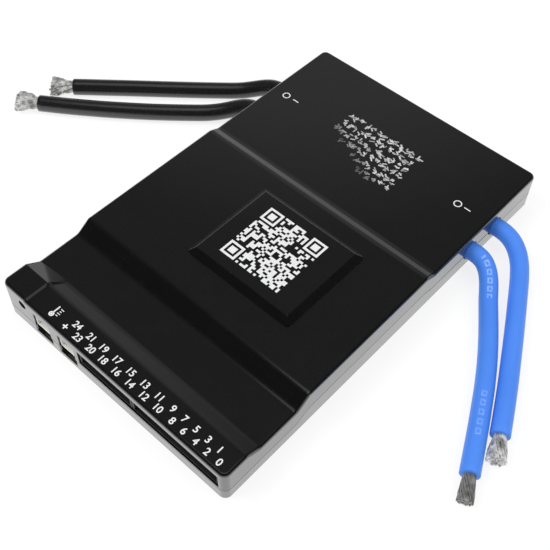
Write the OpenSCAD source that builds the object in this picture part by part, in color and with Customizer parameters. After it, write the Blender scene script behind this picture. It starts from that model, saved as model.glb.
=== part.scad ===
// Battery management board: two boards and their power parts in a two-piece
// moulded case, with stub leads on both sides.
// Millimetres. Origin at the middle of the case's underside, +Z up, +Y to the
// lead end, +X to the battery leads.

/* [Case] */
// Width of the case
case_w = 100; // [96:1:124]
// Length of the case
case_l = 160; // [154:1:190]
// Radius of the case's upright corners
corner_r = 2.5; // [1:0.5:6]
// Thickness of the side walls
wall = 2; // [1.4:0.1:2.2]
// Thickness of the floor
floor_t = 1.8; // [1.2:0.1:2]
// Thickness of the roof
roof_t = 2; // [1.2:0.1:2.4]

/* [Stepped roof] */
// Height of the socket strip along the front edge
strip_h = 15.3; // [14.8:0.1:17]
// Height of the valley behind the strip
valley_h = 12.8; // [12:0.1:14]
// Height of the middle field
mid_h = 16.3; // [15.5:0.1:19]
// Height of the field at the lead end
rear_h = 14.7; // [14:0.1:18]
// Depth of the socket strip from front to back
strip_d = 9.6; // [9:0.1:12]
// Run of the slope from the strip down to the valley
strip_slope = 5.1; // [3:0.1:8]
// Depth of the valley
valley_d = 16.1; // [12:0.1:22]
// Run of the slope from the valley up to the middle field
mid_slope = 5.3; // [3:0.1:8]
// Depth of the middle field
mid_d = 58.5; // [50:0.5:64]
// Run of the slope from the middle field down to the lead end
rear_slope = 4; // [2:0.1:8]
// Rise of the corner over the status light
light_rise = 0.8; // [0.3:0.1:1.4]
// Width of the raised corner over the status light
light_zone_w = 11.5; // [9:0.5:13]

/* [Seam] */
// Height of the seam under the strip and the valley
seam_front = 5.4; // [4.8:0.1:5.8]
// Height of the seam under the middle field
seam_mid = 8.2; // [7:0.1:9]
// Height of the seam at the lead end, where the leads pass
seam_rear = 7; // [6.9:0.1:7.4]

/* [Raised pad] */
// Width of the pad's foot
pad_w = 45; // [36:1:56]
// Depth of the pad's foot
pad_d = 38.5; // [30:0.5:46]
// Height of the pad over the middle field
pad_h = 2.2; // [1:0.1:3]
// Inset of the pad's top edge from its foot
pad_slope = 2.4; // [1:0.1:4]
// Sideways place of the pad's centre
pad_x = 7.2; // [-10:0.1:12]
// Place of the pad's centre along the case
pad_y = -12; // [-15:0.5:-5]

/* [Sockets] */
// Contacts in the left tap header
taps_left = 9; // [6:1:9]
// Contacts in the right tap header
taps_right = 14; // [10:1:14]
// Spacing of the tap contacts
tap_pitch = 2.5; // [2:0.1:2.5]
// Height of a tap header's body
header_h = 6.2; // [5.4:0.1:6.2]
// Depth of a tap header's body
header_d = 9.2; // [8:0.1:9.6]
// Distance from a header's last contact to its side
header_margin = 1.95; // [1.8:0.05:2.1]
// Moulded wall of a header or a socket
header_wall = 0.8; // [0.5:0.05:1]
// Contacts in the temperature socket
temperature_ways = 3; // [2:1:3]
// Contacts in the data socket
data_ways = 4; // [3:1:4]
// Body width of both small sockets
socket_w = 7.2; // [6.6:0.1:7.4]
// Body height of both small sockets
socket_h = 5.4; // [5:0.1:5.8]
// Side of a square contact
pin_side = 0.6; // [0.4:0.05:0.7]
// Gap from the header slot to the data socket
data_gap = 2.2; // [1.5:0.1:3]
// Gap between the two small sockets
socket_gap = 4.7; // [3:0.1:5.5]
// Gap from the temperature socket to the status light's middle
light_gap = 5.6; // [4.5:0.1:6]
// Distance of the status light's middle from the left side
light_inset = 9.3; // [8.5:0.1:9.4]
// Radius of the status light
light_r = 1.5; // [1:0.1:1.7]

/* [Boards] */
// Thickness of both boards
board_t = 1.6; // [1.2:0.1:2]
// Height of the control board's top
control_top = 6; // [5.8:0.1:6.1]
// Height of the power board's top
power_top = 4; // [3.8:0.1:4.2]
// Gap from the power board's edge to the side wall
power_side_gap = 4; // [3.5:0.5:6]
// Gap between the two boards
board_gap = 2; // [1:0.5:4]
// Place of the joint between the boards along the case
board_joint_y = 3; // [1:0.5:5]

/* [Power parts] */
// Rows of transistors in each bank
fet_rows = 5; // [3:1:5]
// Spacing of the transistor rows
fet_pitch = 10.4; // [10:0.1:10.6]
// Gap between two neighbouring transistors
fet_gap = 1.4; // [1:0.1:2]
// Height of a transistor
fet_h = 4.4; // [3.6:0.1:4.6]
// Thickness of the heat-conducting pad
gap_pad_t = 0.5; // [0.3:0.1:0.8]
// Thickness of the heat spreader
spreader_t = 2; // [1.5:0.1:2.2]
// Thickness of the copper bars
bar_t = 0.9; // [0.8:0.1:1]

/* [Leads] */
// Outer diameter of a lead
lead_d = 6.5; // [6.5:0.1:6.6]
// Diameter of a lead's bare strands
core_d = 4.2; // [3.6:0.1:4.2]
// Distance from the lead end of the case to the nearer lead
lead_inset = 24; // [24:0.5:24.5]
// Spacing of the two leads on one side
lead_pitch = 15; // [14.5:0.5:15]
// Length of the bare end of a lead
bare_l = 9; // [6:0.5:12]

/* [Screws] */
// Radius of a case screw's shank
screw_r = 1.3; // [1:0.05:1.4]
// Radius of a case screw's head
screw_head_r = 2.4; // [2:0.1:2.5]
// Radius of a screw boss
boss_r = 3; // [2.9:0.1:3.1]
// Distance of the screw bosses from the case's sides
boss_inset = 5.5; // [5.3:0.1:6]

/* [Hidden] */
$fn = 48;

// Small clearances: between moulded parts, and past a cut's face.
fit = 0.25;
over = 1;

// Stations along the case, from the front face to the lead end.
y_front = -case_l / 2;
y_strip = y_front + strip_d;
y_valley = y_strip + strip_slope;
y_rise = y_valley + valley_d;
y_mid = y_rise + mid_slope;
y_fall = y_mid + mid_d;
y_rear = y_fall + rear_slope;
y_back = case_l / 2;
half_w = case_w / 2;
in_w = half_w - wall;

// Roof line and seam line seen from the side, as [y, z].
roof_line = [
  [y_front, strip_h], [y_strip, strip_h], [y_valley, valley_h], [y_rise, valley_h],
  [y_mid, mid_h], [y_fall, mid_h], [y_rear, rear_h], [y_back, rear_h]
];
light_line = [
  [y_front, strip_h + light_rise], [y_strip, strip_h + light_rise],
  [y_valley, valley_h], [y_rise, valley_h]
];
light_foot = [for (i = [0:3]) roof_line[i]];
seam_line = [
  [y_front, seam_front], [y_rise, seam_front], [y_mid, seam_mid],
  [y_fall, seam_mid], [y_rear, seam_rear], [y_back, seam_rear]
];

function reversed(list) = [for (i = [len(list) - 1:-1:0]) list[i]];
function lowered(list, drop) = [for (p = list) [p[0], p[1] - drop]];

// Boards
control_bottom = control_top - board_t;
power_bottom = power_top - board_t;
control_half = in_w - 0.5;
control_y0 = y_front + wall + 0.4;
control_y1 = board_joint_y - board_gap / 2;
power_y0 = board_joint_y + board_gap / 2;
power_y1 = y_back - wall - 0.6;
power_half = in_w - power_side_gap;
notch_r = boss_r + 0.5;
board_hole_r = 1.1;
post_r = 2.2;

// Case screws: one pair behind the sockets, one at the joint, one at the back.
boss_x = half_w - boss_inset;
boss_ys = [y_valley + 4.3, board_joint_y + 6, y_back - boss_inset];
head_t = 1.2;

// Board screws, on posts that rise from the floor.
control_post_x = control_half - 11.5;
power_post_x = power_half - 13;
control_posts = [for (y = [y_rise - 2, control_y1 - 4], x = [-1, 1]) [x * control_post_x, y]];
power_posts = [for (y = [power_y1 - 3.5, power_y0 + 4], x = [-1, 1]) [x * power_post_x, y]];

// Sockets: the right header ends near the right wall, the others follow. The left
// header has as many of its contacts as the front has room for.
header_side = 3;
header_right_w = (taps_right - 1) * tap_pitch + 2 * header_margin;
small_row = light_gap + socket_gap + data_gap + 2 * socket_w;
left_room = case_w - light_inset - small_row - header_right_w - header_side - 2 * fit;
left_ways = min(taps_left, floor((left_room - 2 * header_margin) / tap_pitch + 1.01));
header_left_w = (left_ways - 1) * tap_pitch + 2 * header_margin;
header_front = y_front + 0.5;
header_right_x = half_w - header_side - header_right_w / 2;
header_left_x = header_right_x - header_right_w / 2 - fit - header_left_w / 2;
slot_x0 = header_left_x - header_left_w / 2 - fit;
slot_x1 = header_right_x + header_right_w / 2 + fit;
data_x = slot_x0 - data_gap - socket_w / 2;
temperature_x = data_x - socket_w - socket_gap;
light_x = temperature_x - socket_w / 2 - light_gap;
light_z = control_top + 5.3;
window_drop = 3.2;
cavity_d = header_d - 1.6;
socket_d = 7;
small_pitch = 1.5;

// Power parts
spreader_z = power_top + fet_h + gap_pad_t;
bar_w = 11;
bar_x = power_half - 0.5 - bar_w / 2;
bar_d = 34;
bar_top = power_top + bar_t;
drain_w = 5;
sense_w = 3.2;
sense_room = 8.1;
bank_in = drain_w / 2 + 1.1;
bank_out = bar_x - bar_w / 2 - sense_room;
fet_w = (bank_out - bank_in - fet_gap - 0.2) / 2;
fet_d = fet_pitch - fet_gap;
fet_xs = [bank_in + fet_w / 2, bank_out - fet_w / 2];
fet_y0 = y_back - 6.3 - fet_d / 2 - (fet_rows - 1) * fet_pitch;
sense_x = bank_out + 1.1 + sense_w / 2;
spreader_half_w = bank_out + 1;
spreader_y0 = fet_y0 - fet_d / 2 - 1;
spreader_y1 = fet_y0 + (fet_rows - 1) * fet_pitch + fet_d / 2 + 1;
spreader_post_r = 1.8;
spreader_post_ys = [fet_y0 + fet_pitch / 2, fet_y0 + (fet_rows - 1.5) * fet_pitch];

// Leads
lead_z = seam_rear;
lead_ys = [y_back - lead_inset, y_back - lead_inset - lead_pitch];
lead_clear = 0.35;
tail_in = half_w - 5;
core_in = bar_x - bar_w / 2 + 0.6;
floor_z = lead_d / 2;
cord_sides = 10;

// Routes of the leads' middle lines, from the case wall to the end of the sleeve.
black_route_a = [
  [-50, 56, 7], [-53, 56, 7], [-56.2, 55.3, 6.5], [-59.4, 53.6, 5.6], [-62.4, 51.3, 4.6],
  [-65.3, 48.8, 3.8], [-68.4, 46.1, 3.4], [-71.6, 43.3, 3.3], [-78.4, 37.2, 3.25],
  [-85.6, 30.8, 3.25], [-92.8, 24.5, 3.25], [-100, 18.2, 3.25], [-107, 12, 3.25],
  [-112, 7.6, 3.25], [-116.6, 3.5, 3.25]
];
black_route_b = [
  [-50, 41, 7], [-53, 41, 7], [-56, 40, 6.4], [-58.8, 37.9, 5.5], [-61.4, 35.4, 4.5],
  [-64.1, 32.6, 3.8], [-67.1, 29.6, 3.4], [-70.2, 26.7, 3.3], [-76.4, 21.1, 3.25],
  [-83, 15.3, 3.25], [-90, 9.5, 3.25], [-97.4, 3.6, 3.25], [-104.8, -2, 3.25],
  [-112, -7.2, 3.25], [-119, -12, 3.25]
];
blue_route_a = [
  [50, 56, 7], [53, 56, 7], [56.3, 55.7, 6.5], [59.6, 54.5, 5.7], [62.6, 52.5, 4.7],
  [65.2, 49.8, 3.9], [67.4, 46.7, 3.4], [69.4, 43.4, 3.3], [73.2, 36.6, 3.25],
  [77, 29.7, 3.25], [81, 22.3, 3.25], [85.2, 14.4, 3.25], [89.4, 6.4, 3.25],
  [93.4, -1.6, 3.25], [97.2, -9.4, 3.25]
];
blue_route_b = [
  [50, 41, 7], [53, 41, 7], [56.1, 40.5, 6.4], [59, 38.8, 5.4], [61.4, 36.4, 4.5],
  [63.5, 33.6, 3.8], [65.5, 30.6, 3.4], [67.6, 27.6, 3.3], [71.9, 21.4, 3.25],
  [76.2, 14.9, 3.25], [80.4, 8, 3.25], [84.4, 0.8, 3.25], [88.1, -6.4, 3.25],
  [91.5, -13.2, 3.25], [94.7, -19.8, 3.25], [97.8, -26.2, 3.25]
];

// Print
ink = 0.1;
mark_x0 = slot_x0 - 5.6;
mark_pitch = (slot_x1 - 2.2 - mark_x0) / 12;
cell = 1.2;
code_cells = 21;

// ---- Shared shapes ----

// An upright block with rounded corners, centred on x and y.
module rounded_block(w, d, h, r) {
  linear_extrude(h)
    hull_free_rect(w, d, r);
}

// A rectangle with true round corners.
module hull_free_rect(w, d, r) {
  square([w - 2 * r, d], center = true);
  square([w, d - 2 * r], center = true);
  for (x = [-1, 1], y = [-1, 1])
    translate([x * (w / 2 - r), y * (d / 2 - r)])
      circle(r);
}

// A side profile given as [y, z] points, drawn out from x0 to x1.
module profile_block(points, x0, x1) {
  translate([x0, 0, 0])
    rotate([90, 0, 90])
      linear_extrude(x1 - x0)
        polygon(points);
}

// A cross-section given as [x, z] points, drawn out from y0 to y1.
module section_block(points, y0, y1) {
  translate([0, y1, 0])
    rotate([90, 0, 0])
      linear_extrude(y1 - y0)
        polygon(points);
}

// A box from its lowest to its highest corner.
module box(low, high) {
  translate(low)
    cube([high[0] - low[0], high[1] - low[1], high[2] - low[2]]);
}

// The same child on both sides of the case.
module both_sides() {
  children();
  mirror([1, 0, 0])
    children();
}

// ---- Case ----

module case_footprint(inset) {
  translate([0, 0, -over])
    rounded_block(case_w - 2 * inset, case_l - 2 * inset, mid_h + 4, corner_r - min(inset, corner_r - 0.5));
}

module boss_places() {
  for (x = [-boss_x, boss_x], y = boss_ys)
    translate([x, y, 0])
      children();
}

// Openings in the front wall. Each reaches below the seam by its drop.
module front_openings() {
  y0 = y_front - over;
  y1 = y_front + wall + over;
  box([slot_x0, y0, control_top - 0.15], [slot_x1, y1, control_top + header_h + fit]);
  for (x = [temperature_x, data_x])
    box([x - socket_w / 2 - fit, y0, seam_front - window_drop],
        [x + socket_w / 2 + fit, y1, control_top + socket_h + fit]);
  translate([light_x, y0, light_z])
    rotate([-90, 0, 0])
      cylinder(r = light_r + 0.15, h = wall + 2 * over);
}

module lead_holes() {
  for (y = lead_ys)
    translate([-half_w - over, y, lead_z])
      rotate([0, 90, 0])
        cylinder(r = lead_d / 2 + lead_clear, h = case_w + 2 * over);
}

module screw_bores(r) {
  boss_places()
    translate([0, 0, -over])
      cylinder(r = r, h = valley_h - roof_t - 0.4 + over);
}

module lower_shell() {
  color([0.06, 0.06, 0.065])
    difference() {
      union() {
        difference() {
          intersection() {
            profile_block(concat([[y_front, 0], [y_back, 0]], reversed(seam_line)), -half_w, half_w);
            case_footprint(0);
          }
          translate([0, 0, floor_t + over])
            case_footprint(wall);
        }
        boss_places()
          cylinder(r = boss_r, h = seam_front);
        for (p = control_posts)
          translate([p[0], p[1], floor_t / 2])
            cylinder(r = post_r, h = control_bottom - floor_t / 2);
        for (p = power_posts)
          translate([p[0], p[1], floor_t / 2])
            cylinder(r = post_r, h = power_bottom - floor_t / 2);
      }
      front_openings();
      lead_holes();
      boss_places()
        translate([0, 0, -over])
          cylinder(r = screw_r + 0.2, h = seam_front + 2 * over);
      boss_places()
        translate([0, 0, -over])
          cylinder(r = screw_head_r + 0.2, h = over + head_t + 0.2);
      for (p = concat(control_posts, power_posts))
        translate([p[0], p[1], floor_t * 0.6])
          cylinder(r = board_hole_r - 0.2, h = control_top);
    }
}

module pad_solid() {
  w = pad_w / 2;
  d = pad_d / 2;
  z0 = mid_h - roof_t / 2;
  z1 = mid_h + pad_h;
  foot = pad_slope * (1 + roof_t / 2 / pad_h);
  translate([pad_x, pad_y, 0])
    intersection() {
      section_block([[-w - foot + pad_slope, z0], [w + foot - pad_slope, z0],
                     [w - pad_slope, z1], [-w + pad_slope, z1]], -pad_d, pad_d);
      profile_block([[-d - foot + pad_slope, z0], [d + foot - pad_slope, z0],
                     [d - pad_slope, z1], [-d + pad_slope, z1]], -pad_w, pad_w);
      translate([0, 0, z0])
        rounded_block(pad_w, pad_d, z1 - z0, 2.5);
    }
}

// The corner over the status light stands a little above the strip.
module light_corner() {
  x1 = -half_w + light_zone_w;
  top = strip_h + light_rise;
  intersection() {
    profile_block(concat(lowered(light_foot, roof_t / 2), reversed(light_line)), -half_w, x1 + 2);
    section_block([[-half_w, valley_h - roof_t], [x1 + 3.2, valley_h - roof_t],
                   [x1, top], [-half_w, top]], y_front, y_rise);
    case_footprint(0);
  }
}

module upper_shell() {
  roof_in = lowered(roof_line, roof_t);
  color([0.06, 0.06, 0.065])
    difference() {
      union() {
        difference() {
          intersection() {
            profile_block(concat(seam_line, reversed(roof_line)), -half_w, half_w);
            case_footprint(0);
          }
          intersection() {
            profile_block(concat([[y_front, 0], [y_back, 0]], reversed(roof_in)), -half_w, half_w);
            case_footprint(wall);
          }
        }
        light_corner();
        pad_solid();
        intersection() {
          boss_places()
            translate([0, 0, seam_front])
              cylinder(r = boss_r, h = mid_h);
          profile_block(concat([[y_front, 0], [y_back, 0]],
                               reversed(lowered(roof_line, roof_t / 2))), -half_w, half_w);
        }
      }
      front_openings();
      lead_holes();
      screw_bores(screw_r - 0.15);
    }
}

module case_screws() {
  color([0.35, 0.35, 0.37])
    boss_places() {
      difference() {
        translate([0, 0, 0.2])
          cylinder(r = screw_head_r, h = head_t);
        translate([0, 0, 0.2 - over])
          cylinder(r = 1, h = over + 0.7, $fn = 6);
      }
      translate([0, 0, head_t])
        cylinder(r = screw_r - 0.15, h = seam_front + 3.4 - head_t);
    }
}

// ---- Boards ----

module board_outline(half, y0, y1, z) {
  box([-half, y0, z], [half, y1, z + board_t]);
}

module control_board() {
  color([0.05, 0.28, 0.14])
    difference() {
      board_outline(control_half, control_y0, control_y1, control_bottom);
      boss_places()
        cylinder(r = notch_r, h = mid_h);
      for (p = control_posts)
        translate([p[0], p[1], 0])
          cylinder(r = board_hole_r, h = mid_h);
    }
}

module power_board() {
  color([0.05, 0.28, 0.14])
    difference() {
      board_outline(power_half, power_y0, power_y1, power_bottom);
      boss_places()
        cylinder(r = notch_r, h = mid_h);
      for (p = power_posts)
        translate([p[0], p[1], 0])
          cylinder(r = board_hole_r, h = mid_h);
    }
}

module pan_screw(shank) {
  cylinder(r = 2, h = 1.3);
  translate([0, 0, -shank])
    cylinder(r = board_hole_r - 0.2, h = shank);
}

module board_screws() {
  color([0.75, 0.75, 0.77]) {
    for (p = control_posts)
      translate([p[0], p[1], control_top])
        pan_screw(control_top - floor_t);
    for (p = power_posts)
      translate([p[0], p[1], power_top])
        pan_screw(power_top - floor_t);
  }
}

// ---- Sockets ----

function header_contacts(x, ways, pitch) = [for (i = [0:ways - 1]) x + (i - (ways - 1) / 2) * pitch];

left_contacts = header_contacts(header_left_x, left_ways, tap_pitch);
right_contacts = header_contacts(header_right_x, taps_right, tap_pitch);
temperature_contacts = header_contacts(temperature_x, temperature_ways, small_pitch);
data_contacts = header_contacts(data_x, data_ways, small_pitch);

// A side-entry shell: a block with a cavity at the front and holes for its contacts.
module side_socket(x, w, h, d, cavity, contacts, pin_z) {
  difference() {
    box([x - w / 2, header_front, control_top], [x + w / 2, header_front + d, control_top + h]);
    box([x - w / 2 + header_wall, header_front - over, control_top + header_wall],
        [x + w / 2 - header_wall, header_front + cavity, control_top + h - header_wall]);
    for (c = contacts)
      box([c - pin_side / 2, header_front, pin_z - pin_side / 2],
          [c + pin_side / 2, header_front + d + over, pin_z + pin_side / 2]);
  }
}

module bent_pins(contacts, tip, back, pin_z) {
  for (c = contacts)
    translate([c - pin_side / 2, 0, 0]) {
      translate([0, tip, pin_z - pin_side / 2])
        cube([pin_side, back - tip, pin_side]);
      translate([0, back - pin_side, control_top])
        cube([pin_side, pin_side, pin_z - control_top]);
    }
}

tap_pin_z = control_top + header_h / 2;
small_pin_z = control_top + socket_h / 2;

module tap_header_left() {
  color([0.1, 0.1, 0.11])
    side_socket(header_left_x, header_left_w, header_h, header_d, cavity_d, left_contacts, tap_pin_z);
}

module tap_header_right() {
  color([0.1, 0.1, 0.11])
    side_socket(header_right_x, header_right_w, header_h, header_d, cavity_d, right_contacts, tap_pin_z);
}

module tap_pins() {
  color([0.8, 0.76, 0.62])
    bent_pins(concat(left_contacts, right_contacts), header_front + 2.2, header_front + header_d + 1.2, tap_pin_z);
}

module temperature_socket() {
  color([0.93, 0.92, 0.88])
    side_socket(temperature_x, socket_w, socket_h, socket_d, socket_d - 1.4, temperature_contacts, small_pin_z);
}

module data_socket() {
  color([0.93, 0.92, 0.88])
    side_socket(data_x, socket_w, socket_h, socket_d, socket_d - 1.4, data_contacts, small_pin_z);
}

module socket_pins() {
  color([0.8, 0.76, 0.62])
    bent_pins(concat(temperature_contacts, data_contacts), header_front + 1.8,
              header_front + socket_d + 1, small_pin_z);
}

// A round light lying on its side, with its two legs bent down to the board.
module status_light() {
  tip = y_front + 0.4;
  base = y_front + wall + 2.4;
  leg = 0.5;
  color([0.65, 0.05, 0.08]) {
    translate([light_x, tip + light_r, light_z])
      sphere(light_r);
    translate([light_x, tip + light_r, light_z])
      rotate([-90, 0, 0])
        cylinder(r = light_r, h = base - tip - light_r);
    translate([light_x, base - 1, light_z])
      rotate([-90, 0, 0])
        cylinder(r = light_r + 0.4, h = 1);
    for (x = [-1.27, 0.77])
      translate([light_x + x, 0, 0]) {
        translate([0, base - 0.2, light_z - leg / 2])
          cube([leg, 1.8, leg]);
        translate([0, base + 1.1, control_top])
          cube([leg, leg, light_z - control_top]);
      }
  }
}

// ---- Parts on the control board ----

module chip(x, y, w, d, h) {
  box([x - w / 2, y - d / 2, control_top], [x + w / 2, y + d / 2, control_top + h]);
}

chip_y = y_mid + 8;
clock_x = control_half - 27.5;
monitor_xs = [-control_half + 23.5, -control_half + 41.5];
capacitor_xs = [control_half - 14.5, control_half - 6.5];
capacitor_h = mid_h - roof_t - control_top - 1.3;

module microcontroller() {
  color([0.07, 0.07, 0.08])
    chip(clock_x, chip_y, 10, 10, 1.4);
}

module cell_monitors() {
  color([0.07, 0.07, 0.08])
    for (x = monitor_xs)
      chip(x, chip_y - 3, 12, 8, 1.6);
}

module link_chip() {
  color([0.3, 0.31, 0.33])
    chip(9.5 - control_half, chip_y + 11, 9, 12, 2.2);
}

bleed_ways = 12;
bleed_pitch = (2 * control_half - 33.4) / (bleed_ways - 1);
bleed_w = bleed_pitch - 0.8;
bleed_x0 = -bleed_pitch * (bleed_ways - 1) / 2;

// One bleed resistor for each cell, in two rows behind the sockets.
module balance_resistors() {
  color([0.1, 0.1, 0.11])
    for (i = [0:bleed_ways - 1], row = [0, 1])
      chip(bleed_x0 + i * bleed_pitch, y_valley + 1 + row * 5.2, bleed_w, 3.2, 0.6);
}

module balance_switches() {
  color([0.08, 0.08, 0.09])
    for (i = [0:bleed_ways - 1], row = [0, 1])
      chip(bleed_x0 + i * bleed_pitch, y_valley + 10.6 + row * 2.8, 3, 1.5, 1.1);
}

module filter_capacitors() {
  color([0.72, 0.72, 0.74])
    for (x = capacitor_xs, y = [chip_y - 3, chip_y + 5])
      translate([x, y, control_top]) {
        cylinder(r = 3.1, h = capacitor_h);
        box([-3.3, -3.3, 0], [3.3, 3.3, 0.8]);
      }
}

module supply_coil() {
  color([0.18, 0.18, 0.19])
    translate([7.5 - control_half, chip_y - 2, control_top])
      rounded_block(7, 7, 4, 1.2);
}

module crystal() {
  color([0.8, 0.8, 0.82])
    translate([clock_x, chip_y + 9, control_top])
      rounded_block(11, 4.6, 3.5, 2.2);
}

link_ways = 16;
link_x = -4;

// Pins that bridge the two boards, in a strip on the power board.
module board_link() {
  y = power_y0 + 2.4;
  color([0.15, 0.15, 0.16])
    box([link_x - link_ways * 1.27, y - 1.25, power_top],
        [link_x + link_ways * 1.27, y + 1.25, control_top + 1.2]);
  color([0.8, 0.76, 0.62])
    for (i = [0:link_ways - 1])
      translate([link_x + (i - (link_ways - 1) / 2) * 2.54 - pin_side / 2, control_y1 - 3, control_top])
        cube([pin_side, y - 1 - control_y1 + 3, pin_side]);
}

// ---- Power parts ----

module fet(x, y) {
  box([x - fet_w / 2, y - fet_d / 2, power_top], [x + fet_w / 2, y + fet_d / 2, power_top + fet_h]);
}

module fet_bank(side) {
  for (x = fet_xs, i = [0:fet_rows - 1])
    fet(side * x, fet_y0 + i * fet_pitch);
}

module charge_transistors() {
  color([0.09, 0.09, 0.1])
    fet_bank(-1);
}

module discharge_transistors() {
  color([0.09, 0.09, 0.1])
    fet_bank(1);
}

copper = [0.75, 0.42, 0.25];

module drain_bar() {
  color(copper)
    box([-drain_w / 2, fet_y0 - fet_d / 2, power_top], [drain_w / 2, spreader_y1 - 1, bar_top]);
}

module lead_bar(side) {
  mid = (lead_ys[0] + lead_ys[1]) / 2;
  box([side * bar_x - bar_w / 2, mid - bar_d / 2, power_top],
      [side * bar_x + bar_w / 2, mid + bar_d / 2, bar_top]);
}

module battery_bar() {
  color(copper)
    lead_bar(1);
}

module pack_bar() {
  color(copper)
    lead_bar(-1);
}

module sense_resistors() {
  color([0.5, 0.5, 0.52])
    for (i = [0:3])
      box([sense_x - sense_w / 2, lead_ys[1] - 6 + i * 8, power_top],
          [sense_x + sense_w / 2, lead_ys[1] + i * 8, power_top + 0.8]);
}

module gap_pad() {
  color([0.6, 0.65, 0.72])
    difference() {
      box([-spreader_half_w + 1, spreader_y0 + 1, power_top + fet_h],
          [spreader_half_w - 1, spreader_y1 - 1, spreader_z]);
      spreader_post_places()
        cylinder(r = spreader_post_r + 0.3, h = mid_h);
    }
}

module spreader_post_places() {
  for (y = spreader_post_ys)
    translate([0, y, 0])
      children();
}

module heat_spreader() {
  color([0.78, 0.79, 0.8])
    difference() {
      box([-spreader_half_w, spreader_y0, spreader_z], [spreader_half_w, spreader_y1, spreader_z + spreader_t]);
      spreader_post_places()
        cylinder(r = 1.4, h = mid_h);
    }
}

module spreader_posts() {
  color([0.82, 0.75, 0.45])
    spreader_post_places()
      difference() {
        translate([0, 0, bar_top])
          cylinder(r = spreader_post_r, h = spreader_z - bar_top);
        translate([0, 0, bar_top + 1])
          cylinder(r = 1.05, h = spreader_z);
      }
}

module spreader_screws() {
  color([0.75, 0.75, 0.77])
    spreader_post_places() {
      translate([0, 0, spreader_z + spreader_t])
        cylinder(r = 2.2, h = 1.1);
      translate([0, 0, bar_top + 1.2])
        cylinder(r = 1.05, h = spreader_z + spreader_t - bar_top - 1.2);
    }
}

// ---- Leads inside the case ----

module round_along_x(x0, x1, y, r) {
  translate([x0, y, lead_z])
    rotate([0, 90, 0])
      cylinder(r = r, h = x1 - x0);
}

module tails(side) {
  for (y = lead_ys)
    if (side > 0)
      round_along_x(tail_in, half_w, y, lead_d / 2);
    else
      round_along_x(-half_w, -tail_in, y, lead_d / 2);
}

module black_tails() {
  color([0.05, 0.05, 0.055])
    tails(-1);
}

module blue_tails() {
  color([0.1, 0.35, 0.85])
    tails(1);
}

module lead_cores() {
  color([0.72, 0.72, 0.74])
    both_sides()
      for (y = lead_ys)
        round_along_x(core_in, tail_in, y, core_d / 2);
}

module solder_joints() {
  color([0.66, 0.67, 0.69])
    both_sides()
      for (y = lead_ys)
        difference() {
          box([core_in + 0.8, y - core_d / 2 - 1, bar_top], [bar_x + bar_w / 2 - 0.4, y + core_d / 2 + 1, lead_z + 0.4]);
          round_along_x(core_in - over, half_w, y, core_d / 2);
        }
}

// ---- Free leads ----

function unit(v) = v / norm(v);
function way_at(path, i) =
  unit(path[min(i + 1, len(path) - 1)] - path[max(i - 1, 0)]);
function start_way(path, i) = i == 0 ? unit(path[1] - path[0]) : way_at(path, i);
function ring_at(path, i, r) =
  let (
    t = start_way(path, i),
    side = unit(cross(t, [0, 0, 1])),
    up = cross(side, t)
  )
  [for (k = [0:cord_sides - 1])
    let (a = 360 * k / cord_sides)
    path[i] + r * (side * cos(a) + up * sin(a))];

// A round tube along a route, as one closed mesh.
module tube(path, d) {
  n = len(path);
  s = cord_sides;
  points = [for (i = [0:n - 1]) each ring_at(path, i, d / 2)];
  ends = [[for (k = [0:s - 1]) k], [for (k = [s - 1:-1:0]) (n - 1) * s + k]];
  walls = [for (i = [0:n - 2], k = [0:s - 1])
    [i * s + k, (i + 1) * s + k, (i + 1) * s + (k + 1) % s, i * s + (k + 1) % s]];
  polyhedron(points = points, faces = concat(ends, walls), convexity = 4);
}

// The bare strands past the sleeve, flattened and spread to the given half width.
module bare_end(path, spread, high) {
  n = len(path);
  t = unit(path[n - 1] - path[n - 2]);
  turn = atan2(t[1], t[0]);
  translate(path[n - 1])
    rotate([0, 0, turn])
      hull() {
        rotate([0, 90, 0])
          cylinder(r = core_d / 2, h = 0.5, $fn = 24);
        translate([bare_l - 0.5, 0, 0])
          rotate([0, 90, 0])
            scale([high / core_d * 2, spread / core_d * 2, 1])
              cylinder(r = core_d / 2, h = 0.5, $fn = 24);
      }
}

module black_lead_a() {
  color([0.04, 0.04, 0.045])
    tube(black_route_a, lead_d);
}

module black_lead_b() {
  color([0.04, 0.04, 0.045])
    tube(black_route_b, lead_d);
}

module blue_lead_a() {
  color([0.1, 0.35, 0.85])
    tube(blue_route_a, lead_d);
}

module blue_lead_b() {
  color([0.1, 0.35, 0.85])
    tube(blue_route_b, lead_d);
}

tinned = [0.75, 0.75, 0.74];

module black_end_a() {
  color(tinned)
    bare_end(black_route_a, 5, 3.2);
}

module black_end_b() {
  color(tinned)
    bare_end(black_route_b, 5, 3.2);
}

module blue_end_a() {
  color(tinned)
    bare_end(blue_route_a, 3.4, 2.8);
}

module blue_end_b() {
  color(tinned)
    bare_end(blue_route_b, 3.4, 2.8);
}

// ---- Print ----

white_ink = [0.9, 0.9, 0.9];

// A short bar for each numbered tap, in two rows along the strip.
module tap_marks() {
  color(white_ink)
    for (i = [0:12], row = [0, 1])
      if (i > 0 || row == 0)
        translate([mark_x0 + (i + (row == 0 ? 0 : 0.1)) * mark_pitch, y_front + 3.2 + row * 3.2, strip_h])
          box([-1.5, -1, 0], [1.5, 1, ink]);
}

// A made-up field of cells with a square ring in three corners.
module code_ring(x, y) {
  translate([x, y, 0]) {
    difference() {
      box([0, 0, 0], [7 * cell, 7 * cell, ink]);
      box([cell, cell, -over], [6 * cell, 6 * cell, over]);
    }
    box([2 * cell, 2 * cell, 0], [5 * cell, 5 * cell, ink]);
  }
}

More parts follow.
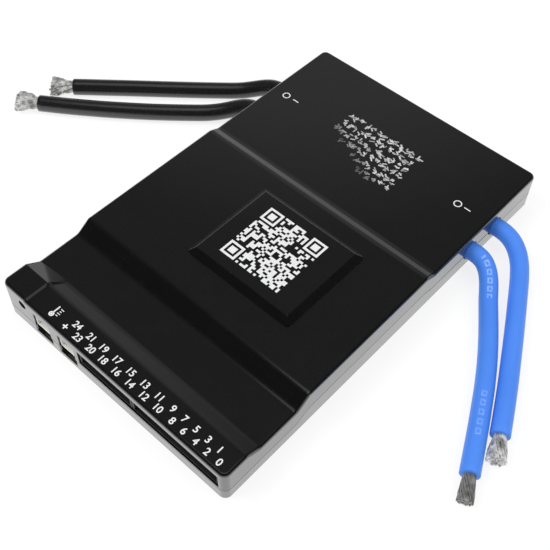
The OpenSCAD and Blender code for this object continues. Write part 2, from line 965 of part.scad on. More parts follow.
function in_ring(i, j) =
  (i < 8 && j < 8) || (i < 8 && j > code_cells - 9) || (i > code_cells - 9 && j > code_cells - 9);
function cell_on(i, j) = !in_ring(i, j) && (i * 7 + j * 11 + i * j * 3 + floor(i * j / 5)) % 5 < 2;

module code_print() {
  half = code_cells * cell / 2;
  gap = 0.04;
  color(white_ink)
    translate([pad_x - half, pad_y - half, mid_h + pad_h]) {
      code_ring(0, 0);
      code_ring(0, (code_cells - 7) * cell);
      code_ring((code_cells - 7) * cell, (code_cells - 7) * cell);
      for (i = [0:code_cells - 1], j = [0:code_cells - 1])
        if (cell_on(i, j))
          box([i * cell + gap, j * cell + gap, 0], [(i + 1) * cell - gap, (j + 1) * cell - gap, ink]);
    }
}

// A faded patch of strokes near the lead end.
module field_print() {
  color(white_ink)
    for (i = [0:7], j = [0:5])
      if ((i * 5 + j * 3) % 4 != 0)
        translate([-13 + i * 3.6 + (j % 2) * 1.1, y_back - 44 + j * 3.8, rear_h])
          box([0, 0, 0], [1.6 + (i + j) % 3 * 0.5, 1.3, ink]);
}

// A minus sign by each pair of leads, with a ring for the pack side.
module polarity_marks() {
  mid = (lead_ys[0] + lead_ys[1]) / 2;
  color(white_ink)
    both_sides()
      translate([half_w - 10.5, mid, rear_h]) {
        box([1, -0.3, 0], [3.4, 0.3, ink]);
        difference() {
          translate([-1.6, 0, 0])
            cylinder(r = 1.7, h = ink);
          translate([-1.6, 0, -over])
            cylinder(r = 1.2, h = 2 * over);
        }
      }
}

lower_shell();
upper_shell();
case_screws();
control_board();
power_board();
board_screws();
tap_header_left();
tap_header_right();
tap_pins();
temperature_socket();
data_socket();
socket_pins();
status_light();
microcontroller();
cell_monitors();
link_chip();
balance_resistors();
balance_switches();
filter_capacitors();
supply_coil();
crystal();
board_link();
charge_transistors();
discharge_transistors();
drain_bar();
battery_bar();
pack_bar();
sense_resistors();
gap_pad();
heat_spreader();
spreader_posts();
spreader_screws();
black_tails();
blue_tails();
lead_cores();
solder_joints();
black_lead_a();
black_lead_b();
blue_lead_a();
blue_lead_b();
black_end_a();
black_end_b();
blue_end_a();
blue_end_b();
tap_marks();
code_print();
field_print();
polarity_marks();
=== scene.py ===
# Looks of a battery management board: a gloss black two-piece case with sockets
# along its front edge, white print on its stepped top, and four silicone leads.
import math
import random

import bmesh
import bpy
from mathutils import Matrix, Vector, noise


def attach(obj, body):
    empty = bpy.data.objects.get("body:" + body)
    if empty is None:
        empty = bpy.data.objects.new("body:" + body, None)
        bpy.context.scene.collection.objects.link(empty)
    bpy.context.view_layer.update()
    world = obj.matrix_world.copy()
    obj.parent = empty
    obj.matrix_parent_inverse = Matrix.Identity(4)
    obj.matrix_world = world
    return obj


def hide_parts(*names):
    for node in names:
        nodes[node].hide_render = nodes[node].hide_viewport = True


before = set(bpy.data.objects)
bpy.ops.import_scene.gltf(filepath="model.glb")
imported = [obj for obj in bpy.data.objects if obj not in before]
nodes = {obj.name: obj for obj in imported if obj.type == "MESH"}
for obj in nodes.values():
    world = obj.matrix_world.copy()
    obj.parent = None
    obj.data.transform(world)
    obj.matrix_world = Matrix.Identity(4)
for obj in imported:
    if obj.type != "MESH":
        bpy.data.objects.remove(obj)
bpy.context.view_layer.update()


# ---- Camera ----
# It stands over the front right corner and looks down on the case.
view = bpy.data.cameras.new("view")
view.lens = 59.68
view.sensor_width = 36
camera = bpy.data.objects.new("camera", view)
camera.location = (0.12925, -0.15247, 0.25198)
camera.rotation_euler = [math.radians(a) for a in (36.994, -1.084, 42.440)]
bpy.context.scene.collection.objects.link(camera)
bpy.context.scene.camera = camera
bpy.context.scene.view_settings.view_transform = "Standard"


# ---- Black leads ----
# The pack side's two leads: fine copper strands in a soft silicone sleeve, cut off
# square. Each lies limp on the floor after it drops from its hole in the case wall.
class Value:
    """A shader socket that takes part in plain sums."""

    def __init__(self, tree, socket):
        self.tree = tree
        self.socket = socket

    def sum(self, operation, *values):
        node = self.tree.nodes.new("ShaderNodeMath")
        node.operation = operation
        for place, value in enumerate(values):
            if isinstance(value, Value):
                self.tree.links.new(value.socket, node.inputs[place])
            else:
                node.inputs[place].default_value = value
        return Value(self.tree, node.outputs[0])

    def __add__(self, other):
        return self.sum("ADD", self, other)

    def __radd__(self, other):
        return self.sum("ADD", other, self)

    def __sub__(self, other):
        return self.sum("SUBTRACT", self, other)

    def __rsub__(self, other):
        return self.sum("SUBTRACT", other, self)

    def __mul__(self, other):
        return self.sum("MULTIPLY", self, other)

    def __rmul__(self, other):
        return self.sum("MULTIPLY", other, self)

    def __truediv__(self, other):
        return self.sum("DIVIDE", self, other)

    def __mod__(self, other):
        return self.sum("FLOORED_MODULO", self, other)

    def __gt__(self, other):
        return self.sum("GREATER_THAN", self, other)

    def __lt__(self, other):
        return self.sum("LESS_THAN", self, other)

    def __abs__(self):
        return self.sum("ABSOLUTE", self)

    def least(self, other):
        return self.sum("MINIMUM", self, other)

    def most(self, other):
        return self.sum("MAXIMUM", self, other)

    def ramp(self, low, high):
        """0 at low and 1 at high, held beyond them."""
        return ((self - low) / (high - low)).most(0.0).least(1.0)


class Nodes:
    """The nodes of a material or of the world."""

    def __init__(self, tree):
        self.tree = tree

    def feed(self, socket, value):
        if isinstance(value, Value):
            self.tree.links.new(value.socket, socket)
        elif isinstance(value, bpy.types.NodeSocket):
            self.tree.links.new(value, socket)
        else:
            socket.default_value = value

    def node(self, kind, settings, inputs):
        made = self.tree.nodes.new("ShaderNode" + kind)
        for name, value in settings.items():
            setattr(made, name, value)
        for name, value in inputs.items():
            self.feed(made.inputs[name], value)
        return made


class Finish(Nodes):
    """A material: its main shader, and what varies over the surface."""

    def __init__(self, name, settings):
        self.material = bpy.data.materials.new(name)
        self.material.use_nodes = True
        super().__init__(self.material.node_tree)
        self.shader = self.tree.nodes["Principled BSDF"]
        for socket, value in settings.items():
            self.feed(self.shader.inputs[socket], value)

    def noise(self, scale, detail):
        place = self.node("TexCoord", {}, {}).outputs["Object"]
        made = self.node("TexNoise", {}, {"Vector": place, "Scale": scale, "Detail": detail})
        return Value(self.tree, made.outputs[0])

    def attribute(self, name):
        made = self.node("Attribute", {"attribute_name": name}, {})
        return Value(self.tree, made.outputs["Fac"])

    def mix(self, share, first, second):
        made = self.node("Mix", {"data_type": "RGBA"}, {0: share, 6: first, 7: second})
        return made.outputs[2]

    def colour(self, share, first, second):
        """Runs the base colour from the first to the second."""
        self.feed(self.shader.inputs["Base Color"], self.mix(share, first, second))

    def rough(self, value):
        self.feed(self.shader.inputs["Roughness"], value)

    def bump(self, height, strength, distance):
        made = self.node("Bump", {}, {"Height": height, "Strength": strength, "Distance": distance})
        self.feed(self.shader.inputs["Normal"], made.outputs[0])


def put(name, mesh, finish, replaced):
    """Adds a mesh as a piece that rides on the case in place of a packed one."""
    piece = bpy.data.objects.new(name, mesh)
    bpy.context.scene.collection.objects.link(piece)
    mesh.materials.clear()
    mesh.materials.append(finish.material)
    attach(piece, "root")
    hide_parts(replaced)
    return piece


def smooth_line(points, steps):
    """An even line through the points, given in millimetres, as vectors in metres."""
    knots = [Vector(p) / 1000 for p in points]
    knots = [2 * knots[0] - knots[1]] + knots + [2 * knots[-1] - knots[-2]]
    line = []
    for a, b, c, d in zip(knots, knots[1:], knots[2:], knots[3:]):
        for k in range(steps):
            t = k / steps
            line.append(0.5 * (2 * b + (c - a) * t + (2 * a - 5 * b + 4 * c - d) * t * t
                               + (3 * b - a - 3 * c + d) * t ** 3))
    return line + [knots[-2]]


def line_length(line):
    return sum((b - a).length for a, b in zip(line, line[1:]))


def skin(bm, rings):
    """Closes a row of rings into a solid, with a cap on each end."""
    count = len(rings[0])
    for low, high in zip(rings, rings[1:]):
        for k in range(count):
            after = (k + 1) % count
            bm.faces.new((low[k], low[after], high[after], high[k]))
    bm.faces.new(rings[0][::-1])
    bm.faces.new(rings[-1])


def add_tube(bm, line, radius, sides, along=None, around=None):
    """Sweeps a closed round tube along a line. radius is a number or a function of
    the share along the line; along and around are layers that take the place."""
    side = None
    rings = []
    run = 0.0
    for i, point in enumerate(line):
        way = (line[min(i + 1, len(line) - 1)] - line[max(i - 1, 0)]).normalized()
        if side is None:
            side = way.cross(Vector((0, 0, 1))).normalized()
        side = (side - way * side.dot(way)).normalized()
        up = side.cross(way)
        if i:
            run += (point - line[i - 1]).length
        r = radius(i / (len(line) - 1)) if callable(radius) else radius
        ring = []
        for k in range(sides):
            a = 2 * math.pi * k / sides
            vertex = bm.verts.new(point + r * (side * math.cos(a) + up * math.sin(a)))
            if along is not None:
                vertex[along] = run
                vertex[around] = math.sin(a / 2) ** 2
            ring.append(vertex)
        rings.append(ring)
    skin(bm, rings)


def finish_mesh(bm, name):
    """Turns the faces outwards and gives the smooth mesh."""
    bmesh.ops.recalc_face_normals(bm, faces=bm.faces)
    for face in bm.faces:
        face.smooth = True
    mesh = bpy.data.meshes.new(name)
    bm.to_mesh(mesh)
    bm.free()
    return mesh


sleeve_width = 0.0065
cut_edge = 0.0002


def sleeve_radius(share):
    """The sleeve's radius, a little less at the very end, where the cut edge is soft."""
    return sleeve_width / 2 - (1.1 * cut_edge if share > 0.9995 else 0.0)


def add_lead(name, route, finish, printed=0.0):
    """A lead's sleeve along its route, added in place of the packed lead."""
    line = smooth_line(route, 6)
    last = line[-1] - line[-2]
    line = line[:-1] + [line[-1] - last.normalized() * cut_edge, line[-1]]
    bm = bmesh.new()
    along = bm.verts.layers.float.new("along")
    around = bm.verts.layers.float.new("around")
    add_tube(bm, line, sleeve_radius, 32, along, around)
    marked = bm.verts.layers.float.new("printed")
    for vertex in bm.verts:
        vertex[marked] = printed
    mesh = finish_mesh(bm, name)
    mesh.shade_smooth()
    mesh.set_sharp_from_angle(angle=math.radians(50))
    lead = put(name + "_sleeve", mesh, finish, name)
    line_length(line)


def add_strands(name, route, finish, strand, reach, spread, high, twist, stray, lumps, seed):
    """The bare end past the sleeve: tinned strands that twist together over a core of
    solder and spread to the given half widths. Lengths are in millimetres: the strand's
    radius, its reach past the sleeve and the half widths across and up."""
    start = 1.75
    rings = 3
    core_steps = 26
    core_sides = 48
    strand_steps = 14
    chance = random.Random(seed)
    tip = Vector(route[-1]) / 1000
    way = (tip - Vector(route[-2]) / 1000).normalized()
    side = way.cross(Vector((0, 0, 1))).normalized()
    up = side.cross(way)
    bm = bmesh.new()

    def half_widths(t):
        grown = t * t * (3 - 2 * t)
        return start + (spread - start) * grown, start + (high - start) * grown

    rows = []
    for s in range(core_steps + 1):
        t = s / core_steps
        wide, tall = half_widths(t)
        row = []
        for k in range(core_sides):
            a = 2 * math.pi * k / core_sides
            lump = 1 + lumps * noise.noise(Vector((3 * math.cos(a), 3 * math.sin(a), 8 * t + seed)))
            place = tip + way * (-1 + t * (reach + 0.6)) / 1000
            place += (side * wide * math.cos(a) + up * tall * math.sin(a)) * lump / 1000
            place.z = max(place.z, 0.0002)
            row.append(bm.verts.new(place))
        rows.append(row)
    skin(bm, rows)

    for ring in range(rings + 1):
        count = max(1, 6 * ring)
        for k in range(count):
            turn = 2 * math.pi * k / count + ring * 0.4 + chance.uniform(-0.1, 0.1)
            far = reach * chance.uniform(0.93, 1.0)
            share = ring / rings
            drift = (chance.uniform(-1, 1), chance.uniform(-1, 1))
            line = []
            for s in range(strand_steps + 1):
                t = s / strand_steps
                wide, tall = (half * share for half in half_widths(t))
                a = turn + twist * t
                shake = stray * math.sin(math.pi * t)
                wave = noise.noise(Vector((turn * 3, ring, t * 5 + seed))) * stray * 2
                place = tip + way * (-0.001 + t * (far / 1000 + 0.001))
                place += side * (wide * math.cos(a) + drift[0] * shake + wave) / 1000
                place += up * (tall * math.sin(a) + drift[1] * shake * 0.6) / 1000
                place.z = max(place.z, strand / 1000 + 0.0001)
                line.append(place)
            add_tube(bm, line, strand / 1000, 7)
    mesh = finish_mesh(bm, name)
    mesh.set_sharp_from_angle(angle=math.radians(45))
    return put(name + "_strands", mesh, finish, name)


def add_tinned(name, dark, bright):
    """Tinned copper, from dull grey to bright."""
    tinned = Finish(name, {"Metallic": 0.45, "IOR": 1.6})
    tinned.rough(0.22 + tinned.noise(900, 3) * 0.3)
    tinned.colour(tinned.noise(420, 2).ramp(0.35, 0.65),
                  (dark, dark, dark * 0.98, 1), (bright, bright, bright * 0.98, 1))
    tinned.bump(tinned.noise(1500, 3), 0.6, 0.0003)
    return tinned


tinned = add_tinned("tinned_bright", 0.26, 0.8)
dull_tinned = add_tinned("tinned_dull", 0.12, 0.3)

black_sleeve = Finish("black_sleeve", {"IOR": 1.6, "Coat Weight": 0.5, "Coat Roughness": 0.22})
black_sleeve.rough(0.2 + black_sleeve.noise(260, 3) * 0.12)
black_sleeve.colour(black_sleeve.noise(2600, 2).ramp(0.68, 0.76),
                    (0.008, 0.008, 0.009, 1), (0.05, 0.05, 0.052, 1))
black_sleeve.bump(black_sleeve.noise(320, 3), 0.25, 0.0002)

black_route_a = [
    (-50, 56, 7), (-53, 56, 7), (-56.2, 55.3, 6.5), (-59.4, 53.6, 5.6), (-62.4, 51.3, 4.6),
    (-65.3, 48.8, 3.8), (-68.4, 46.1, 3.4), (-71.6, 43.3, 3.3), (-78.4, 37.2, 3.25),
    (-85.6, 30.8, 3.25), (-92.8, 24.5, 3.25), (-100, 18.2, 3.25), (-107, 12, 3.25),
    (-112, 7.6, 3.25), (-116.6, 3.5, 3.25)]
black_route_b = [
    (-50, 41, 7), (-53, 41, 7), (-56, 40, 6.4), (-58.8, 37.9, 5.5), (-61.4, 35.4, 4.5),
    (-64.1, 32.6, 3.8), (-67.1, 29.6, 3.4), (-70.2, 26.7, 3.3), (-76.4, 21.1, 3.25),
    (-83, 15.3, 3.25), (-90, 9.5, 3.25), (-97.4, 3.6, 3.25), (-104.8, -2, 3.25),
    (-112, -7.2, 3.25), (-119, -12, 3.25)]
end = add_strands("black_end_a", black_route_a, tinned, 0.45, 8.9, 4.4, 2.6, 0.9, 0.35, 0.3, 3)
add_lead("black_lead_a", black_route_a, black_sleeve)
end = add_strands("black_end_b", black_route_b, tinned, 0.45, 8.9, 4.4, 2.6, 0.7, 0.35, 0.3, 8)
add_lead("black_lead_b", black_route_b, black_sleeve)


# ---- Blue leads ----
# The battery side's two leads, in blue silicone of the same size. Two short rows of
# pale marks are printed along the sleeve of the front one.
blue_sleeve = Finish("blue_sleeve", {"IOR": 1.43})
run = blue_sleeve.attribute("along")
turn = blue_sleeve.attribute("around")
near_case = abs(run - 0.0135) < 0.0085
further = (abs(run - 0.066) < 0.008) * 0.5
mark_pitch = 0.0034
in_mark = run % mark_pitch
off_middle = abs(turn - 0.36)
mark = (in_mark < 0.0023) * (near_case + further) * (off_middle < 0.13)
hollow = (in_mark > 0.0006) * (in_mark < 0.0017) * (off_middle < 0.06)
mark = mark * (1 - hollow) * blue_sleeve.attribute("printed")
grain = blue_sleeve.noise(3200, 2).ramp(0.3, 0.6)
body = blue_sleeve.mix(blue_sleeve.noise(70, 3), (0.046, 0.175, 0.63, 1), (0.06, 0.215, 0.73, 1))
blue_sleeve.colour(mark * grain * 0.6, body, (0.42, 0.56, 0.93, 1))
blue_sleeve.rough(0.36 + blue_sleeve.noise(240, 3) * 0.14)
blue_sleeve.bump(blue_sleeve.noise(300, 3), 0.2, 0.0002)

blue_route_a = [
    (50, 56, 7), (53, 56, 7), (56.3, 55.7, 6.5), (59.6, 54.5, 5.7), (62.6, 52.5, 4.7),
    (65.2, 49.8, 3.9), (67.4, 46.7, 3.4), (69.4, 43.4, 3.3), (73.2, 36.6, 3.25),
    (77, 29.7, 3.25), (81, 22.3, 3.25), (85.2, 14.4, 3.25), (89.4, 6.4, 3.25),
    (93.4, -1.6, 3.25), (97.2, -9.4, 3.25)]
blue_route_b = [
    (50, 41, 7), (53, 41, 7), (56.1, 40.5, 6.4), (59, 38.8, 5.4), (61.4, 36.4, 4.5),
    (63.5, 33.6, 3.8), (65.5, 30.6, 3.4), (67.6, 27.6, 3.3), (71.9, 21.4, 3.25),
    (76.2, 14.9, 3.25), (80.4, 8, 3.25), (84.4, 0.8, 3.25), (88.1, -6.4, 3.25),
    (91.5, -13.2, 3.25), (94.7, -19.8, 3.25), (97.8, -26.2, 3.25)]
end = add_strands("blue_end_a", blue_route_a, tinned, 0.36, 8.9, 2.9, 2.5, 1.2, 0.15, 0.3, 5)
add_lead("blue_lead_a", blue_route_a, blue_sleeve)
end = add_strands("blue_end_b", blue_route_b, dull_tinned, 0.3, 8.9, 2.35, 2.2, 1.6, 0.04, 0.08, 12)
add_lead("blue_lead_b", blue_route_b, blue_sleeve, 1.0)


# ---- Case ----
# Two injection moulded halves of black plastic, polished to a high gloss. The edges
# are rounded and a fine groove shows where the halves meet.
def add_gloss(name, inner, outer):
    """Polished black plastic, with faint dust and a slight waviness."""
    gloss = Finish(name, {"IOR": inner, "Coat Weight": 1.0, "Coat IOR": outer, "Coat Roughness": 0.06})
    specks = gloss.noise(2400, 2).ramp(0.74, 0.8) * gloss.noise(45, 2).ramp(0.4, 0.7)
    gloss.colour(specks * 0.6, (0.0024, 0.0024, 0.0026, 1), (0.08, 0.08, 0.082, 1))
    gloss.rough(0.22 + gloss.noise(120, 3) * 0.1)
    gloss.bump(gloss.noise(85, 2), 0.12, 0.0004)
    return gloss


half_width, half_length, pad_top = 0.05, 0.08, 0.0185
pad_x, pad_y = 0.0072, -0.012
pad_reach_x, pad_reach_y, pad_foot = 0.0232, 0.0198, 0.0162
roof_low, seam_high = 0.0118, 0.0128


def add_shell(name, finish, round_roof):
    """A half of the case, from its solid, with its outer edges rounded. The roof's
    creases are rounded too where round_roof is true, and the pad's a little less."""
    bm = bmesh.new()
    bm.from_mesh(nodes[name].data)
    bmesh.ops.remove_doubles(bm, verts=bm.verts, dist=0.00001)
    bmesh.ops.dissolve_limit(bm, angle_limit=math.radians(1), verts=bm.verts, edges=bm.edges)
    bm.normal_update()

    def outside(vertex):
        """On the outer side walls."""
        x, y = half_width - abs(vertex.co.x), half_length - abs(vertex.co.y)
        return x < 0.00005 or y < 0.00005 or (x < 0.0026 and y < 0.0026)

    def sharp(edge, degrees):
        return len(edge.link_faces) == 2 and edge.calc_face_angle(0) > math.radians(degrees)

    def on_pad(vertex):
        return (abs(vertex.co.x - pad_x) < pad_reach_x and abs(vertex.co.y - pad_y) < pad_reach_y
                and vertex.co.z > pad_foot)

    def in_light_corner(vertex):
        return vertex.co.x < -0.0345 and vertex.co.y < -0.0622

    def on_roof(edge):
        return (sharp(edge, 4) and max(face.normal.z for face in edge.link_faces) > 0.3
                and min(face.normal.z for face in edge.link_faces) > -0.02
                and min(vertex.co.z for vertex in edge.verts) > roof_low)

    def roof_edges(pad):
        """The roof's creases, on the pad or off it. The pad's short corner arcs and the
        steps by the light stay sharp, where a bevel would fold over itself."""
        found = []
        for edge in bm.edges:
            if not on_roof(edge) or all(on_pad(v) for v in edge.verts) != pad:
                continue
            arc = pad and edge.calc_length() <= 0.0015
            step = all(in_light_corner(v) for v in edge.verts) and not all(outside(v) for v in edge.verts)
            if not arc and not step:
                found.append(edge)
        return found

    if round_roof:
        for pad, radius in ((True, 0.0003), (False, 0.0011)):
            bmesh.ops.bevel(bm, geom=roof_edges(pad), offset=radius, offset_type="OFFSET", segments=5,
                            profile=0.5, affect="EDGES", clamp_overlap=False, material=-1)
            bm.normal_update()
        for vertex in bm.verts:
            vertex.co.x = min(half_width, max(-half_width, vertex.co.x))
            vertex.co.y = min(half_length, max(-half_length, vertex.co.y))
            vertex.co.z = min(pad_top, vertex.co.z)
    rim = [edge for edge in bm.edges if sharp(edge, 40) and all(outside(v) for v in edge.verts)
           and max(v.co.z for v in edge.verts) < seam_high]
    bmesh.ops.bevel(bm, geom=rim, offset=0.00045, offset_type="OFFSET", segments=2,
                    profile=0.5, affect="EDGES", clamp_overlap=True, material=-1)
    mesh = bpy.data.meshes.new(name + "_moulding")
    bm.to_mesh(mesh)
    bm.free()
    mesh.shade_smooth()
    mesh.set_sharp_from_angle(angle=math.radians(13))
    piece = put(name + "_moulding", mesh, finish, name)
    weighted = piece.modifiers.new("even_normals", "WEIGHTED_NORMAL")
    weighted.keep_sharp = True


add_shell("lower_shell", add_gloss("gloss_black_lower", 1.65, 1.85), False)
add_shell("upper_shell", add_gloss("gloss_black_upper", 1.45, 1.62), True)


def dress(names, finish):
    """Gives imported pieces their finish."""
    for name in names:
        mesh = nodes[name].data
        mesh.materials.clear()
        mesh.materials.append(finish.material)


plated = Finish("plated_steel", {"Metallic": 1.0, "Base Color": (0.5, 0.5, 0.52, 1)})
plated.rough(0.28 + plated.noise(700, 3) * 0.2)
dress(["case_screws", "board_screws", "spreader_screws"], plated)


# ---- Sockets and status light ----
# Two small sockets in natural nylon and two tap headers coloured near black as painted shade
# of the slot they sit in, all with tin plated contacts, and a round red light behind a hole in the corner.
nylon = Finish("natural_nylon", {"IOR": 1.53})
nylon.colour(nylon.noise(160, 3), (0.60, 0.59, 0.55, 1), (0.74, 0.73, 0.69, 1))
nylon.rough(0.34 + nylon.noise(500, 2) * 0.12)
dress(["temperature_socket", "data_socket"], nylon)
# Near black here is painted shade: it darkens the tap headers to stand in for the shade inside their slot.
nylon_painted_shade = Finish("nylon_painted_shade", {"IOR": 1.53})
nylon_painted_shade.colour(nylon_painted_shade.noise(160, 3), (0.008, 0.008, 0.009, 1), (0.018, 0.018, 0.02, 1))
nylon_painted_shade.rough(0.4 + nylon_painted_shade.noise(500, 2) * 0.12)
dress(["tap_header_left", "tap_header_right"], nylon_painted_shade)
tin = Finish("tin_plate", {"Metallic": 1.0, "Base Color": (0.78, 0.75, 0.66, 1)})
tin.rough(0.2 + tin.noise(900, 2) * 0.15)
dress(["tap_pins", "socket_pins"], tin)
lens = Finish("red_lens", {"IOR": 1.5, "Coat Weight": 0.6, "Coat Roughness": 0.05})
lens.colour(lens.noise(900, 2), (0.16, 0.03, 0.045, 1), (0.3, 0.05, 0.07, 1))
lens.rough(0.15 + lens.noise(600, 2) * 0.08)
dress(["status_light"], lens)


# ---- Boards and power parts ----
# Two green laminate boards, their chips and coils, and the copper bars, transistors
# and heat spreader of the power side. The closed case hides all of them.
mask = Finish("solder_mask", {"IOR": 1.5, "Coat Weight": 0.4})
weave = mask.noise(1400, 2)
mask.colour(weave, (0.012, 0.09, 0.035, 1), (0.02, 0.13, 0.05, 1))
mask.rough(0.32 + weave * 0.1)
dress(["control_board", "power_board"], mask)
epoxy = Finish("moulded_epoxy", {"IOR": 1.5})
epoxy.colour(epoxy.noise(1800, 2), (0.012, 0.012, 0.013, 1), (0.022, 0.022, 0.024, 1))
epoxy.rough(0.5 + epoxy.noise(900, 2) * 0.15)
dress(["microcontroller", "cell_monitors", "link_chip", "balance_resistors", "balance_switches",
       "supply_coil", "board_link", "charge_transistors", "discharge_transistors",
       "sense_resistors"], epoxy)
can = Finish("bare_aluminium", {"Metallic": 1.0, "Base Color": (0.72, 0.72, 0.74, 1)})
can.rough(0.3 + can.noise(600, 3) * 0.2)
dress(["filter_capacitors", "crystal", "heat_spreader"], can)
copper = Finish("copper_bar", {"Metallic": 1.0})
copper.colour(copper.noise(300, 3), (0.52, 0.22, 0.10, 1), (0.68, 0.32, 0.16, 1))
copper.rough(0.3 + copper.noise(500, 3) * 0.2)
dress(["drain_bar", "battery_bar", "pack_bar", "spreader_posts"], copper)
gap = Finish("gap_silicone", {"IOR": 1.4})
gap.colour(gap.noise(400, 2), (0.30, 0.36, 0.44, 1), (0.36, 0.42, 0.50, 1))
gap.rough(0.6 + gap.noise(600, 2) * 0.15)
dress(["gap_pad"], gap)
dress(["black_tails"], black_sleeve)
dress(["blue_tails"], blue_sleeve)
dress(["lead_cores", "solder_joints"], tinned)


# ---- Print on the top ----
# White pad print: a number for each tap, a small thermometer, a ring and a minus by
# the leads, a field of cells on the pad and a worn patch near the lead end.
ink = Finish("white_ink", {"IOR": 1.45})
worn = ink.attribute("worn")
blotch = ink.noise(900, 3)
ink.colour(worn * (0.82 + blotch * 0.2), (0.010, 0.010, 0.011, 1), (0.66, 0.66, 0.66, 1))
ink.rough(0.38 + ink.noise(700, 2) * 0.15)


class Print:
    """Flat marks gathered in one mesh, a hair above the surface they lie on."""

    def __init__(self):
        self.bm = bmesh.new()
        self.worn = self.bm.verts.layers.float.new("worn")

    def bar(self, x, y, z, wide, deep, angle=0.0, worn=1.0):
        """A rectangle about a place, in millimetres."""
        place = (Matrix.Translation((x / 1000, y / 1000, z / 1000)) @ Matrix.Rotation(angle, 4, "Z")
                 @ Matrix.Diagonal((wide / 2000, deep / 2000, 1, 1)))
        made = bmesh.ops.create_grid(self.bm, x_segments=1, y_segments=1, size=1, matrix=place)
        for vertex in made["verts"]:
            vertex[self.worn] = worn

    def ring(self, x, y, z, outer, inner):
        """A flat ring about a place, from its outer and inner radius."""
        place = Matrix.Translation((x / 1000, y / 1000, z / 1000))
        edges = {}
        for radius in (outer, inner):
            made = bmesh.ops.create_circle(self.bm, segments=32, radius=radius / 1000, matrix=place)
            for vertex in made["verts"]:
                vertex[self.worn] = 1.0
                edges.update(dict.fromkeys(vertex.link_edges))
        bmesh.ops.bridge_loops(self.bm, edges=list(edges))

    def number(self, words, x, y, z, height, weight):
        """Digits of that height, centred on a place."""
        text = bpy.data.curves.new("digits", "FONT")
        text.body = words
        text.size = height / 0.69
        text.offset = weight
        holder = bpy.data.objects.new("digits", text)
        mesh = bpy.data.meshes.new_from_object(holder)
        xs = [v.co.x for v in mesh.vertices]
        ys = [v.co.y for v in mesh.vertices]
        shift = Vector((x - (min(xs) + max(xs)) / 2, y - (min(ys) + max(ys)) / 2, z))
        mesh.transform(Matrix.Diagonal((0.001, 0.001, 0.001, 1)) @ Matrix.Translation(shift))
        before = len(self.bm.verts)
        self.bm.from_mesh(mesh)
        self.bm.verts.ensure_lookup_table()
        for vertex in self.bm.verts[before:]:
            vertex[self.worn] = 1.0
        bpy.data.objects.remove(holder)
        bpy.data.curves.remove(text)
        bpy.data.meshes.remove(mesh)

    def lay(self, name, replaced):
        """Turns the marks to face up and adds them as one piece."""
        self.bm.normal_update()
        for face in self.bm.faces:
            if face.normal.z < 0:
                face.normal_flip()
        mesh = bpy.data.meshes.new(name)
        self.bm.to_mesh(mesh)
        self.bm.free()
        put(name, mesh, ink, replaced)


numbers = Print()
strip = 15.36
upper_row, lower_row = -74.3, -77.2
digit_height, digit_weight = 2.3, 0.055
upper_places = {24: -19.1, 21: -12.9, 19: -6.7, 17: -0.6, 15: 5.5, 13: 11.7, 11: 17.8, 9: 23.6,
                7: 28.5, 5: 33.3, 3: 38.1, 1: 42.8}
lower_places = {23: -15.8, 20: -9.7, 18: -3.8, 16: 2.2, 14: 8.3, 12: 14.4, 10: 20.4, 8: 26.2,
                6: 31.0, 4: 35.8, 2: 40.5, 0: 45.3}
for count, x in upper_places.items():
    numbers.number(str(count), x, upper_row, strip, digit_height, digit_weight)
for count, x in lower_places.items():
    numbers.number(str(count), x, lower_row, strip, digit_height, digit_weight)
plus_x, bulb_x, bulb_y = -21.7, -28.6, -77.0
numbers.bar(plus_x, lower_row, strip, 2.0, 0.5)
numbers.bar(plus_x, lower_row, strip + 0.002, 0.5, 2.0)
numbers.ring(bulb_x, bulb_y, strip, 0.95, 0.5)
numbers.bar(bulb_x, bulb_y, strip, 0.7, 0.7)
numbers.bar(bulb_x, bulb_y + 2.2, strip, 0.5, 2.8)
for step in range(4):
    numbers.bar(-26.9, -76.4 + step * 0.85, strip, 1.3 if step % 2 else 0.8, 0.3)
numbers.lay("tap_numbers", "tap_marks")

signs = Print()
roof = 14.76
for x in (-42.9, 37.3):
    signs.ring(x, 49.0, roof, 1.55, 1.15)
for x in (-38.3, 41.3):
    signs.bar(x, 49.1, roof, 2.6, 0.42)
signs.lay("polarity_signs", "polarity_marks")

code = Print()
cells = 29
corner_cells = 7
field = 25.3
cell = field / cells
top = 18.56
left, near = 6.3 - field / 2, -11.9 - field / 2
far_corner = cells - corner_cells
for i, j in ((0, 0), (0, far_corner), (far_corner, far_corner)):
    for x, y, wide, deep in ((3.5, 0.5, 7, 1), (3.5, 6.5, 7, 1), (0.5, 3.5, 1, 5),
                             (6.5, 3.5, 1, 5), (3.5, 3.5, 3, 3)):
        code.bar(left + (i + x) * cell, near + (j + y) * cell, top, wide * cell, deep * cell)
chance = random.Random(29)
for i in range(cells):
    for j in range(cells):
        low_i, low_j = i <= corner_cells, j <= corner_cells
        high_i, high_j = i >= far_corner - 1, j >= far_corner - 1
        corner = (low_i and low_j) or (low_i and high_j) or (high_i and high_j)
        if not corner and chance.random() < 0.49:
            code.bar(left + (i + 0.5) * cell, near + (j + 0.5) * cell, top, cell * 1.02, cell * 1.02)
code.lay("cell_field", "code_print")

patch = Print()
chance = random.Random(41)
for row in range(6):
    for place in range(13):
        x = -17 + place * 2.6 + chance.uniform(-0.5, 0.5)
        y = 57.0 - row * 3.9 + chance.uniform(-0.4, 0.4)
        fade = 1.05 - max(0.0, row - 0.8 - place * 0.36) * 0.55
        if fade < 0.1:
            continue
        for stroke in range(4):
            angle = chance.choice((0, math.pi / 2, 0.6, -0.6)) + chance.uniform(-0.15, 0.15)
            patch.bar(x + chance.uniform(-0.8, 0.8), y + chance.uniform(-1.2, 1.2),
                      roof + stroke * 0.004, chance.uniform(1.1, 2.2), chance.uniform(0.4, 0.72), angle,
                      min(1.0, fade) * chance.uniform(0.3, 0.85))
patch.lay("worn_patch", "field_print")


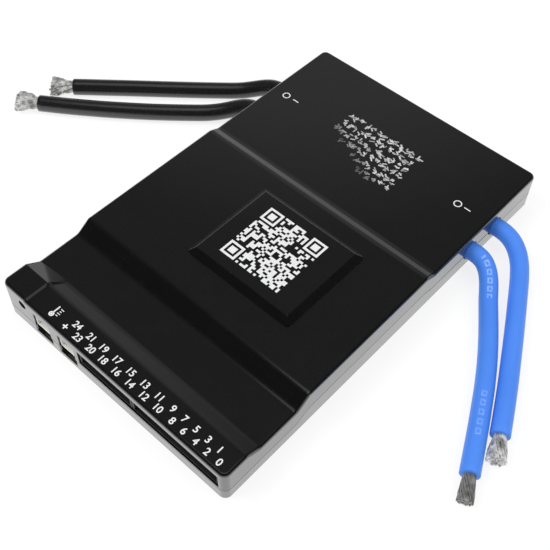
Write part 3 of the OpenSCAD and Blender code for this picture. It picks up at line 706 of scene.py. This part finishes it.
# ---- Floor, lamps and world ----
# A plain pale floor, broad soft lamps, and a white surround.
bm = bmesh.new()
bmesh.ops.create_grid(bm, x_segments=1, y_segments=1, size=2)
mesh = bpy.data.meshes.new("floor")
bm.to_mesh(mesh)
bm.free()
floor = bpy.data.objects.new("floor", mesh)
bpy.context.scene.collection.objects.link(floor)
pale = Finish("pale_floor", {"Base Color": (0.9, 0.9, 0.9, 1), "Roughness": 1.0,
                             "Specular IOR Level": 0.0})
glow = pale.node("Emission", {}, {"Color": (1, 1, 1, 1), "Strength": 1.0})
blend = pale.node("MixShader", {}, {0: 0.8, 1: pale.shader.outputs[0], 2: glow.outputs[0]})
pale.feed(pale.tree.nodes["Material Output"].inputs["Surface"], blend.outputs[0])
mesh.materials.append(pale.material)


def add_lamp(name, place, target, size, power):
    light = bpy.data.lights.new(name, "AREA")
    light.size = size
    light.energy = power
    lamp = bpy.data.objects.new(name, light)
    lamp.location = place
    lamp.rotation_euler = (Vector(target) - Vector(place)).to_track_quat("-Z", "Y").to_euler()
    lamp.visible_glossy = False
    bpy.context.scene.collection.objects.link(lamp)


add_lamp("key", (-0.5, -0.5, 0.9), (0, 0, 0), 0.6, 7)
add_lamp("fill", (0.7, 0.2, 0.8), (0, 0, 0), 0.8, 4)

world = bpy.data.worlds.new("surround")
world.use_nodes = True
bpy.context.scene.world = world
sky = Nodes(world.node_tree)
rays = sky.node("LightPath", {}, {})
direction = sky.node("SeparateXYZ", {}, {0: sky.node("TexCoord", {}, {}).outputs["Generated"]})
east, north, height = (Value(sky.tree, direction.outputs[k]) for k in range(3))

# What the gloss mirrors: a dim room with a soft patch of light behind the case, a paler
# band low down, a bright ceiling and a white ground.
bearing, rise = math.radians(129), math.radians(28)
toward_patch = (east * (math.cos(bearing) * math.cos(rise)) + north * (math.sin(bearing) * math.cos(rise))
                + height * math.sin(rise))
glare = 0.008 + toward_patch.ramp(0.5, 0.87) * 0.065
glare = glare + toward_patch.ramp(math.cos(math.radians(22.5)), math.cos(math.radians(14.5))) * 0.14
glare = glare + (0.27 - height).ramp(0.0, 0.1) * 0.5
glare = glare + height.ramp(0.93, 0.97) * 0.8
glare = glare.most((0.02 - height).ramp(0.0, 0.04))

straight = Value(sky.tree, rays.outputs["Is Camera Ray"])
seen = straight.most(Value(sky.tree, rays.outputs["Is Transmission Ray"]))
black = sky.node("Background", {}, {"Color": (0, 0, 0, 1), "Strength": 0.0})
white = sky.node("Background", {}, {"Color": (1, 1, 1, 1), "Strength": 1.0})
soft = sky.node("Background", {}, {"Color": (1, 1, 1, 1), "Strength": 0.85})
mirror = sky.node("MixShader", {}, {0: glare, 1: black.outputs[0], 2: white.outputs[0]})
lit = sky.node("MixShader", {}, {0: rays.outputs["Is Glossy Ray"], 1: soft.outputs[0], 2: mirror.outputs[0]})
whole = sky.node("MixShader", {}, {0: seen, 1: lit.outputs[0], 2: white.outputs[0]})
sky.feed(sky.tree.nodes["World Output"].inputs["Surface"], whole.outputs[0])
